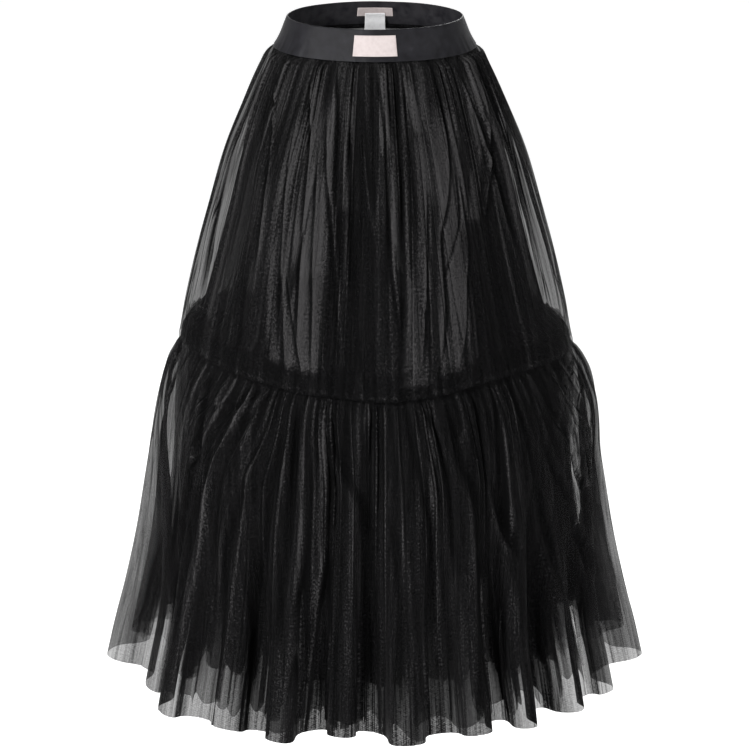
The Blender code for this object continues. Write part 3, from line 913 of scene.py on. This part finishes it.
# Angle and reach of the ridge, then of the hollow after it
FOLDS = (
    (-90, 0, -76, -0.05), (-63, -0.024, -56, -0.038), (-48, 0.014, -40, -0.004),
    (-32, 0.006, -26, -0.022), (-19, 0.026, -13.5, -0.024), (-7, 0, -1, -0.028),
    (6.5, 0.02, 14, -0.012), (22, 0.01, 27.5, -0.03), (33, 0.006, 38.5, -0.034),
    (47, -0.002, 54.5, -0.026), (62, -0.008, 74, -0.056), (90, 0, 101, -0.044),
    (111, 0.004, 118.5, -0.022), (127, 0.014, 135, -0.03), (142, 0.002, 148, -0.018),
    (157, 0.018, 165, -0.026), (173, 0, 179, -0.024), (187, 0.02, 195.5, -0.014),
    (203, 0.006, 210, -0.028), (218, 0.012, 226.5, -0.03), (234, 0.002, 241.5, -0.018),
    (250, -0.004, 259, -0.046),
)

LOWER_OUTER_REACH = (
    (LOWER_TOP, -0.00595), (LOWER_TURN, -0.00595), (0.463, -0.002), (0.510, -0.004),
    (HEM_DROP, -NET_WALL / 2),
)
LINING_INSET = (
    (LOWER_TOP, 0.0026), (LOWER_TURN, 0.0026), (0.463, 0.0085), (0.510, 0.015),
    (0.600, 0.018), (HEM_DROP, 0.018),
)

# How far the gathers have fanned out sideways below the seam: angle, degrees
FAN = (
    (-180, 0), (-165, 5), (-150, -4), (-130, 3), (-112, -7), (-90, 0), (-76, 1), (-62, -5), (-50, -10),
    (-36, -7), (-22, 0), (-8, 2), (0, 0), (22, 3), (34, 0), (50, 5), (62, 9), (76, 6), (90, 0),
    (108, 8), (126, -3), (144, 6), (158, -5), (170, 4), (180, 0),
)

# Half width (degrees), depth (mm), side of the ridge, then drop (mm) and angle along the line
RUFFLE_CREASES = (
    (1.3, 6.5, -1, (455, -0.5), (493, -1.5), (556, -2.2), (640, -1.8)),
    (1.2, 5, -1, (485, -13), (545, -7.2), (594, -2.8), (765, -2), (860, -2)),
    (1.4, 7.5, -1, (453, 19.5), (531, 22.2), (607, 25.8), (771, 24.2), (895, 22)),
    (0.9, 6, 1, (451, 34.5), (539, 33.5), (594, 33.5), (670, 34.8)),
    (0.9, 5, -1, (560, 31), (634, 33.5), (680, 36.5)),
    (1, 5, 1, (457, 46.8), (533, 49.8), (661, 59.8), (791, 67.5)),
    (0.9, 4.5, 1, (455, 53), (540, 59), (660, 68), (800, 74)),
    (0.9, 4, -1, (452, 40.5), (520, 43.5), (620, 47), (760, 49)),
    (1.1, 5.5, 1, (445, -31.2), (528, -45.8), (666, -49.5), (801, -47.5)),
    (0.9, 4.5, 1, (444, -35), (509, -41.8), (609, -47.5), (747, -48.5)),
    (0.8, 4, -1, (446, -27), (500, -36), (580, -41), (700, -42)),
    (1.2, 6, 1, (460, -21.8), (544, -21.2), (664, -20.5), (790, -20.5)),
    (1, 5.5, -1, (452, -15.2), (489, -11.2), (659, -11), (768, -14.5)),
    (1.1, 5, 1, (490, -24), (613, -26.5), (740, -29)),
    (1, 6, -1, (440, -58), (532, -52), (699, -53.2), (883, -55.5)),
    (0.9, 4.5, 1, (446, 8), (520, 10.5), (640, 13.5), (780, 13)),
    (0.8, 4, -1, (446, 12), (500, 16), (580, 18.5), (700, 19.5)),
    (1, 5, 1, (600, 4), (720, 6), (860, 4.5)), (1, 5, -1, (560, -34), (680, -36.5), (840, -35.5)),
    (0.9, 4.5, 1, (445, -72), (530, -76), (680, -80), (820, -79)),
    (0.9, 5, -1, (446, 80), (540, 84), (700, 86)),
    (1.2, 6, 1, (450, 97), (540, 101), (700, 104), (870, 103)),
    (1, 5, -1, (452, 117), (520, 112), (620, 110), (780, 112)),
    (1.3, 7, 1, (450, 129), (530, 133), (640, 138), (860, 136)),
    (1, 5, -1, (455, 146), (560, 150), (740, 149)),
    (1.2, 6, -1, (450, 163), (520, 158), (660, 156), (850, 158)),
    (1, 5.5, 1, (452, 172), (560, 175), (700, 173)),
    (1.3, 7, 1, (450, 184), (530, 190), (650, 193), (880, 191)),
    (1, 5, -1, (450, 203), (540, 205), (720, 209)),
    (1.1, 5.5, 1, (450, 219), (520, 213), (640, 211), (820, 213)),
    (1.1, 5.5, -1, (452, 231), (560, 236), (780, 238)),
    (1, 5, 1, (450, 250), (540, 255), (700, 258), (840, 256)),
)

# How many plies the hem's folds lay over one another: angle, plies
HEM_PLIES = (
    (-180, 1.8), (-160, 1.2), (-140, 2), (-115, 1), (-90, 1.2), (-60, 1.6), (-44, 1.5), (-34, 1.6),
    (-26, 2.1), (-20, 2.9), (-12, 3.3), (-5, 3), (1, 2.7), (8, 3), (15, 2.8), (21, 2.3), (27, 2.1),
    (34, 1.4), (46, 1.3), (60, 1.1), (90, 1.2), (112, 1), (138, 1.3), (155, 2.3), (170, 1.3),
    (180, 1.8),
)
print(len(FOLDS), "folds", len(RUFFLE_CREASES), "creases")

# %% The hem's curve, the ruffle's form and its gathers


def hem_curve(fold):
    """Angle and reach of the hem by the fold's number, on a Catmull-Rom curve through the table.

    A whole number is a ridge and a half is the hollow after it. Between two stops the curve is a
    cubic whose slope at each stop is half of the way between that stop's two neighbours."""
    stops = np.array(FOLDS).reshape(-1, 2)
    count = len(stops)
    place_on = 2 * np.mod(fold, len(FOLDS))
    left = np.floor(place_on).astype(int)
    t = (place_on - left)[..., None]

    def stop(offset):
        number = left + offset
        turned = np.zeros(number.shape + (2,))
        turned[..., 0] = 360 * (number // count)
        return stops[number % count] + turned

    before, start, end, after = stop(-1), stop(0), stop(1), stop(2)
    bend = 2 * before - 5 * start + 4 * end - after
    twist = 3 * (start - end) + after - before
    found = start + 0.5 * t * ((end - before) + t * (bend + t * twist))
    return found[..., 0], found[..., 1]


def hem_plies(angle):
    """The plies that the table gives at an angle."""
    angles, plies = np.array(HEM_PLIES).T
    return smooth_through(angles, plies, round_gap(angle, 0))


def ruffle(share, drop, inset):
    """A smooth point of the ruffle, an inset inside its outer net: angle, reach and how far grown."""
    fold = len(FOLDS) * share
    even_angle = even_angle_of(share)
    hem_angle, hem_reach = hem_curve(fold)
    grown = ease(drop, SEAM_DROP + 0.02, HEM_DROP - 0.06)
    lap = 1.1 * grown * grown * np.sin(4 * np.pi * fold)
    angle = even_angle + (hem_angle - even_angle) * grown + lap
    reach = reach_of(LOWER_OUTER_REACH, drop) - inset + grown * hem_reach
    reach = reach + (1 - grown) * upper_fold_reach(even_angle, np.minimum(drop, SEAM_DROP))
    return angle, reach, grown


def side_thinness(angle, share):
    """Less than one at both sides, where the ruffle is spread out and its net looks thinner."""
    return 1 - share * np.maximum(bell(round_gap(angle, 84), 40), bell(round_gap(angle, -84), 40))


def ruffle_gathers(angle, drop, seed):
    """Uneven gathers below the seam, which fan out sideways as they go down."""
    fan_angles, fan_out = np.array(FAN).T
    fanned = smooth_through(fan_angles, fan_out, round_gap(angle, 0))
    source = angle - fanned * ease(drop, SEAM_DROP, SEAM_DROP + 0.13)
    gather = GATHERS_PER_FOLD * len(FOLDS) * source / 360 + 0.6 * level_ripple(source, 5, 30, seed)
    weight = np.clip(0.65 + 0.4 * level_ripple(source, 12, 50, seed + 1), 0.1, 1.3)
    strength = gather_strength(gather, drop, LOWER_TURN, 0.463, (0.07, 0.42)) * weight
    return source, gather, strength


print("plies at the middle of the front hem:", round(float(hem_plies(0.0)), 2))

# %% The three layers of the ruffle


def lower_outer(share, drop):
    """The outer ruffle: gathers under the seam, deep folds at the hem and placed creases between."""
    angle, reach, grown = ruffle(share, drop, 0.0)
    source, gather, strength = ruffle_gathers(angle, drop, 51)
    ridge = np.cos(2 * np.pi * gather)
    pull, mark = crease_marks(angle, drop, RUFFLE_CREASES)
    loose = ease(drop, 0.455, 0.50)
    soft = ripple(angle, drop, 14, 40, 6.0, 52)
    creases = crease_lines(ripple(angle, drop, 26, 80, 7.0, 53), 0.13)
    small = ease(drop, SEAM_DROP, 0.456) * (1 - ease(drop, 0.47, 0.56))
    small = small * level_ripple(source, 90, 160, 55)
    quiet = side_thinness(angle, 0.7)
    rows_of_pleats = (
        gather, 38 * share + 0.8 * ripple(source, drop, 4, 18, 3.0, 56),
        quiet * (0.40 * ease(drop, 0.450, 0.456) - 0.30 * ease(drop, 0.56, 0.78)),
        0.22 * loose * patches(source, drop, 57),
    )
    reach = reach + RUFFLE_GATHER_DEPTH * strength * quiet * ridge + pull
    reach = reach + loose * (0.0016 * soft - 0.0014 * creases) + 0.0010 * small
    reach = reach + 0.006 * bell(round_gap(angle, 90), 30) * bell(drop - 0.53, 0.08)
    # The hem's reach: the folds' ridges get painted light and their hollows painted shade.
    bulge = hem_curve(len(FOLDS) * share)[1] / 0.03
    plies = 1 + (hem_plies(angle) - 1) * grown + 0.45 * creases * loose
    plies = plies + 0.9 * (strength * quiet * (1 - ridge) / 2 + np.clip(mark, 0, 1))
    plies = plies - 0.45 * grown * either_side(angle, 108, 26)
    plies = plies + 0.5 * either_side(angle, 64, 16) * bell(drop - 0.52, 0.09)
    # Painted light on the gather ridges, the small gathers and where the soft waves bulge out; painted
    # shade in the creases, in the crease troughs and just under the seam, and a painted highlight on
    # the crease ridges.
    light = 0.28 + 0.13 * strength * ridge + 0.06 * soft + 0.05 * grown * bulge + 0.10 * small
    light = light + 0.08 * bands(angle, drop, 45, 120, 4.0, 54) - 0.28 * creases * loose
    light = light - 0.32 * mark - 0.10 * bell(drop - SEAM_DROP, 0.006)
    angle = angle + 0.5 * strength * np.sin(2 * np.pi * gather)
    return angle, reach, plies, light, rows_of_pleats


def lining(share, drop, hem, inset, seed, pleats, sway, depth):
    """An inner layer: it follows the outer folds, further in at the sides, with pleats of its own."""
    even_angle = even_angle_of(share)
    to_sides = 0.030 * bell(round_gap(even_angle, 86), 46)
    to_sides = to_sides + 0.020 * bell(round_gap(even_angle, -88), 46)
    inset = inset + to_sides * ease(drop, 0.460, 0.640) * (1 - 0.2 * ease(drop, 0.70, 0.90))
    angle, reach, grown = ruffle(share, drop, inset)
    pleat = pleats * share + 0.6 * level_ripple(360 * share, 4, 24, seed)
    full = ease(drop, 0.50, 0.75)
    plies = 1 + 0.6 * (hem_plies(angle) - 1) * grown
    thin = side_thinness(angle, 0.66)
    angle = angle + sway * full * np.sin(2 * np.pi * pleat)
    reach = reach + depth * full * np.cos(2 * np.pi * pleat)
    creases = crease_lines(ripple(360 * share, drop, 40, 100, 6.0, seed + 1), 0.20)
    # Painted light on the pleats' outer ridges, painted shade in their hollows and in the creases.
    light = 0.30 + 0.16 * full * np.cos(2 * np.pi * pleat) - 0.25 * creases
    light = light + 0.10 * bands(angle, drop, 45, 120, 4.0, seed + 2)
    long_pleats = 64 * share + 0.9 * ripple(even_angle, drop, 4, 26, 4.0, seed + 3)
    frayed = 1 - 0.5 * ease(drop, hem - 0.08, hem + 0.01)
    plies = thin * frayed * (plies + 0.9 * creases + 0.5 * (1 - full))
    return angle, reach, plies, light, (pleat, long_pleats, 0.2 * full, 0.2 * full)


def lower_middle(share, drop):
    """The middle layer: one inset inside the outer net."""
    inset = reach_of(LINING_INSET, drop)
    return lining(share, drop, MIDDLE_HEM_DROP, inset, 61, 52, 1.9, 0.0050)


def lower_inner(share, drop):
    """The inner layer: two insets inside the outer net."""
    inset = 2 * reach_of(LINING_INSET, drop)
    return lining(share, drop, INNER_HEM_DROP, inset, 71, 44, 2.4, 0.0070)


print("lengths to the three hems:", HEM_DROP, MIDDLE_HEM_DROP, INNER_HEM_DROP, "m")

# %% Hems, and making the ruffle's layers


def outer_hem(share):
    """The outer net's hem: nearly level, and a little longer left of the front."""
    longer = 0.007 * bell(round_gap(even_angle_of(share), -37), 14)
    return even_edge(HEM_DROP - 0.002, 0.0015, 8, 30, 46)(share) + longer


def uneven_hem(drop, droop, wobble, seed):
    """A ragged edge that hangs lower in front and is drawn up at the sides."""
    ragged = even_edge(drop, wobble, 40, 130, seed)

    def edge(share):
        angle = even_angle_of(share)
        drawn_up = 0.022 * bell(round_gap(angle, 98), 40) + 0.014 * bell(round_gap(angle, -98), 36)
        longer = droop * bell(round_gap(angle, -3), 30) + 0.008 * bell(round_gap(angle, 60), 20)
        return ragged(share) + longer - drawn_up

    return edge


net_layer(
    "lower_outer_net", ("lower_outer_front", "lower_outer_back"), lower_outer,
    even_edge(LOWER_TOP, 0.003, 20, 60, 45), outer_hem,
    90, 1100, 0.40, OUTER_NET, (3.30, 0.48),
)
net_layer(
    "lower_middle_net", ("lower_middle_front", "lower_middle_back"), lower_middle,
    even_edge(LOWER_TOP, 0.003, 20, 60, 47), uneven_hem(MIDDLE_HEM_DROP + 0.014, 0.008, 0.007, 48),
    80, 1100, 0.38, MIDDLE_NET, (3.20, 0.46),
)
net_layer(
    "lower_inner_net", ("lower_inner_front", "lower_inner_back"), lower_inner,
    even_edge(LOWER_TOP, 0.003, 20, 60, 49), uneven_hem(INNER_HEM_DROP + 0.022, 0.012, 0.009, 50),
    72, 1056, 0.26, DENSE_NET, (2.90, 0.40),
)

# %% [markdown]
# ## The waistband
#
# The band is a ring of smooth knitted elastic, a little wider at its lower edge. Its wall is drawn
# as one closed loop that runs down the outside, round the lower edge, up the inside and round the
# top, and that loop is carried round the waist. The elastic has very fine upright ribs and a soft
# sheen, and it puckers slightly where the net pulls at it. As in the photograph, its inside is a
# little lighter than its outside, which is painted light.

# %% Waistband
BAND_COLUMNS = 360
SIDE_ROWS = 14
EDGE_ROWS = 7
BAND_RIBS = 420.0
KNIT_HEIGHT = 0.0011
# Position and colour of the outside's two tones and of the inside, which is painted lighter
ELASTIC_STOPS = (
    (0.3, (0.0052, 0.0050, 0.0066)), (0.7, (0.0122, 0.0119, 0.0152)), (1.0, (0.034, 0.033, 0.037)),
)


def band_outline():
    """Drop and reach of the wall's outline: two straight sides joined by two half circles."""
    half = BAND_WALL / 2
    arc = np.linspace(0, np.pi, EDGE_ROWS)[1:-1]
    side = np.linspace(half, BAND_HEIGHT - half, SIDE_ROWS)
    outside = np.column_stack((side, np.zeros(SIDE_ROWS)))
    lower = np.column_stack((BAND_HEIGHT - half + half * np.sin(arc), -half + half * np.cos(arc)))
    inside = np.column_stack((side[::-1], np.full(SIDE_ROWS, -BAND_WALL)))
    upper = np.column_stack((half - half * np.sin(arc), -half - half * np.cos(arc)))
    return np.concatenate((outside, lower, inside, upper))


def make_band():
    """Carry the outline round the waist, with slight puckers that fade towards the top."""
    outline = band_outline()
    turn = np.arange(BAND_COLUMNS) * 360 / BAND_COLUMNS
    drop, angle = np.meshgrid(outline[:, 0], turn, indexing="ij")
    base = np.broadcast_to(outline[:, 1][:, None], drop.shape)
    pull = ease(drop, 0.012, BAND_HEIGHT)
    reach = base + 0.00022 * pull * ripple(angle, drop, 30, 70, 4.0, 81)
    reach = reach + 0.00025 * ripple(angle, drop, 3, 9, 8.0, 82)
    points = place(angle, drop, reach)
    faces = grid_faces(len(outline), BAND_COLUMNS, True)
    last = (len(outline) - 1) * BAND_COLUMNS
    column = np.arange(BAND_COLUMNS)
    after = (column + 1) % BAND_COLUMNS
    closing = np.column_stack((last + column, column, after, last + after))
    piece = mesh_piece("elastic_band", points, np.concatenate((faces, closing)))
    add_values(piece, "inside", ease(-base, 0.6 * BAND_WALL, 0.9 * BAND_WALL))
    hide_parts("waistband")
    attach(piece, "root")
    return piece


def elastic_material():
    """Dark grey elastic with upright ribs, from the angle round the band, and a soft sheen."""
    material, tree, shader = new_material("knitted_elastic", 0.42, specular=0.18)
    coordinates = add_node(tree, "ShaderNodeTexCoord").outputs["Object"]
    axes = split_axes(tree, coordinates)
    turn = math_node(tree, "ARCTAN2", axes["X"], axes["Y"])
    rib = math_node(tree, "SINE", times(tree, turn, BAND_RIBS))
    row = math_node(tree, "SINE", times(tree, axes["Z"], 2 * np.pi / KNIT_HEIGHT))
    weave = plus(tree, rib, times(tree, row, 0.6))
    # The inside is painted lighter, as painted light.
    inside = times(tree, stored_value(tree, "inside"), 0.4)
    tone = plus(tree, noise_of(tree, coordinates, 90.0, 8.0), inside)
    colour_by(tree, shader, tone, ELASTIC_STOPS)
    bump_by(tree, shader, weave, 0.35)
    return material


band = make_band()
band.data.materials.append(elastic_material())
print("band faces", len(band.data.polygons))

# %% [markdown]
# ## The labels
#
# A cream woven patch is sewn on the front of the band. Inside the back hang a cream label and,
# under it, a white care label. On the real skirt they carry words, which this part leaves bare.
# Each label is a thin pad whose edges are folded under, so it is drawn as a rounded block that
# follows the band's own curve.

# %% Weave of the labels


def woven_material(name, light, dark, thread, roughness):
    """Fine over-and-under weave: the product of two waves picks the lighter thread on top."""
    material, tree, shader = new_material(name, roughness, sheen=0.15)
    uv = uv_place(tree, "cloth")
    axes = split_axes(tree, uv)
    waves = [
        math_node(tree, "SINE", times(tree, axes[axis], 2 * np.pi / thread)) for axis in ("X", "Y")
    ]
    over = times(tree, *waves)
    level = math_node(tree, "ADD", times(tree, over, 0.3), noise_of(tree, uv, 180.0), clamp=True)
    colour_by(tree, shader, level, ((0.15, dark), (0.6, light)))
    bump_by(tree, shader, over, 0.4)
    return material


CREAM = woven_material("cream_weave", (0.60, 0.53, 0.52), (0.50, 0.43, 0.42), 0.0009, 0.7)
TAPE = woven_material("white_tape", (0.80, 0.80, 0.81), (0.68, 0.68, 0.69), 0.0007, 0.6)
print("label materials", CREAM.name, TAPE.name)

# %% The form of a label
PATCH_WIDTH, PATCH_HEIGHT, PATCH_DROP = 0.056, 0.026, 0.007
BRAND_WIDTH, BRAND_HEIGHT, BRAND_DROP = 0.050, 0.012, 0.009
CARE_WIDTH, CARE_TOP_DROP, CARE_END_DROP = 0.028, 0.0165, 0.062
LABEL_WALL = 0.0008
PATCH_GAP = 0.0010
LABEL_TURN = SECTION_WIDTHS[:2].mean()
LABEL_ROWS, LABEL_COLUMNS = 25, 41
# How far from its edges a label is rounded off
LABEL_EDGE = 0.0006


def make_label(name, node, middle_angle, width, top, bottom, reach, material):
    """A label between two drops: a front and a back grid, a little plumper away from the edges.

    reach(drop) gives the middle of its thickness."""
    across, drop = np.meshgrid(
        np.linspace(-width / 2, width / 2, LABEL_COLUMNS), np.linspace(top, bottom, LABEL_ROWS)
    )
    edge = np.minimum(width / 2 - np.abs(across), np.minimum(drop - top, bottom - drop))
    plump = LABEL_WALL / 2 * np.sqrt(1 - (1 - np.clip(edge / LABEL_EDGE, 0, 1)) ** 2)
    angle = middle_angle + np.degrees(across / LABEL_TURN)
    front = place(angle, drop, reach(drop) + plump)
    back = place(angle, drop, reach(drop) - plump)
    count = across.size
    faces = grid_faces(*across.shape, False)
    number = np.arange(count).reshape(across.shape)
    rim = np.concatenate((number[0], number[1:, -1], number[-1, -2::-1], number[-2:0:-1, 0]))
    after = np.roll(rim, -1)
    sides = np.column_stack((rim, after, after + count, rim + count))
    every = np.concatenate((faces, faces[:, ::-1] + count, sides))
    piece = mesh_piece(name, np.concatenate((front.reshape(-1, 3), back.reshape(-1, 3))), every)
    cloth = np.tile(np.column_stack((across.reshape(-1), -drop.reshape(-1))), (2, 1))
    layer = piece.data.uv_layers.new(name="cloth")
    layer.data.foreach_set("uv", cloth[every].reshape(-1).astype(np.float32))
    piece.data.materials.append(material)
    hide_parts(node)
    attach(piece, "root")
    return piece


print("a label is", LABEL_WALL * 1000, "mm thick")

# %% Make the three labels
BRAND_REACH = -BAND_WALL - BAND_GAP - LABEL_WALL / 2
CARE_TOP = -BAND_WALL - 2 * BAND_GAP - 1.5 * LABEL_WALL
CARE_REACH = (
    (0, CARE_TOP), (BRAND_DROP + BRAND_HEIGHT, CARE_TOP), (0.030, -0.0075), (0.041, -0.0105),
    (0.050, -0.022), (CARE_END_DROP, -0.029),
)
make_label("front_label", "front_patch", 0, PATCH_WIDTH, PATCH_DROP, PATCH_DROP + PATCH_HEIGHT,
           lambda drop: np.full_like(drop, PATCH_GAP + LABEL_WALL / 2), CREAM)
make_label("neck_label", "brand_label", 180, BRAND_WIDTH, BRAND_DROP, BRAND_DROP + BRAND_HEIGHT,
           lambda drop: np.full_like(drop, BRAND_REACH), CREAM)
make_label("wash_label", "care_label", 180, CARE_WIDTH, CARE_TOP_DROP, CARE_END_DROP,
           lambda drop: reach_of(CARE_REACH, drop), TAPE)
print("the care label ends", round(CARE_END_DROP - BAND_HEIGHT, 3), "m below the band")
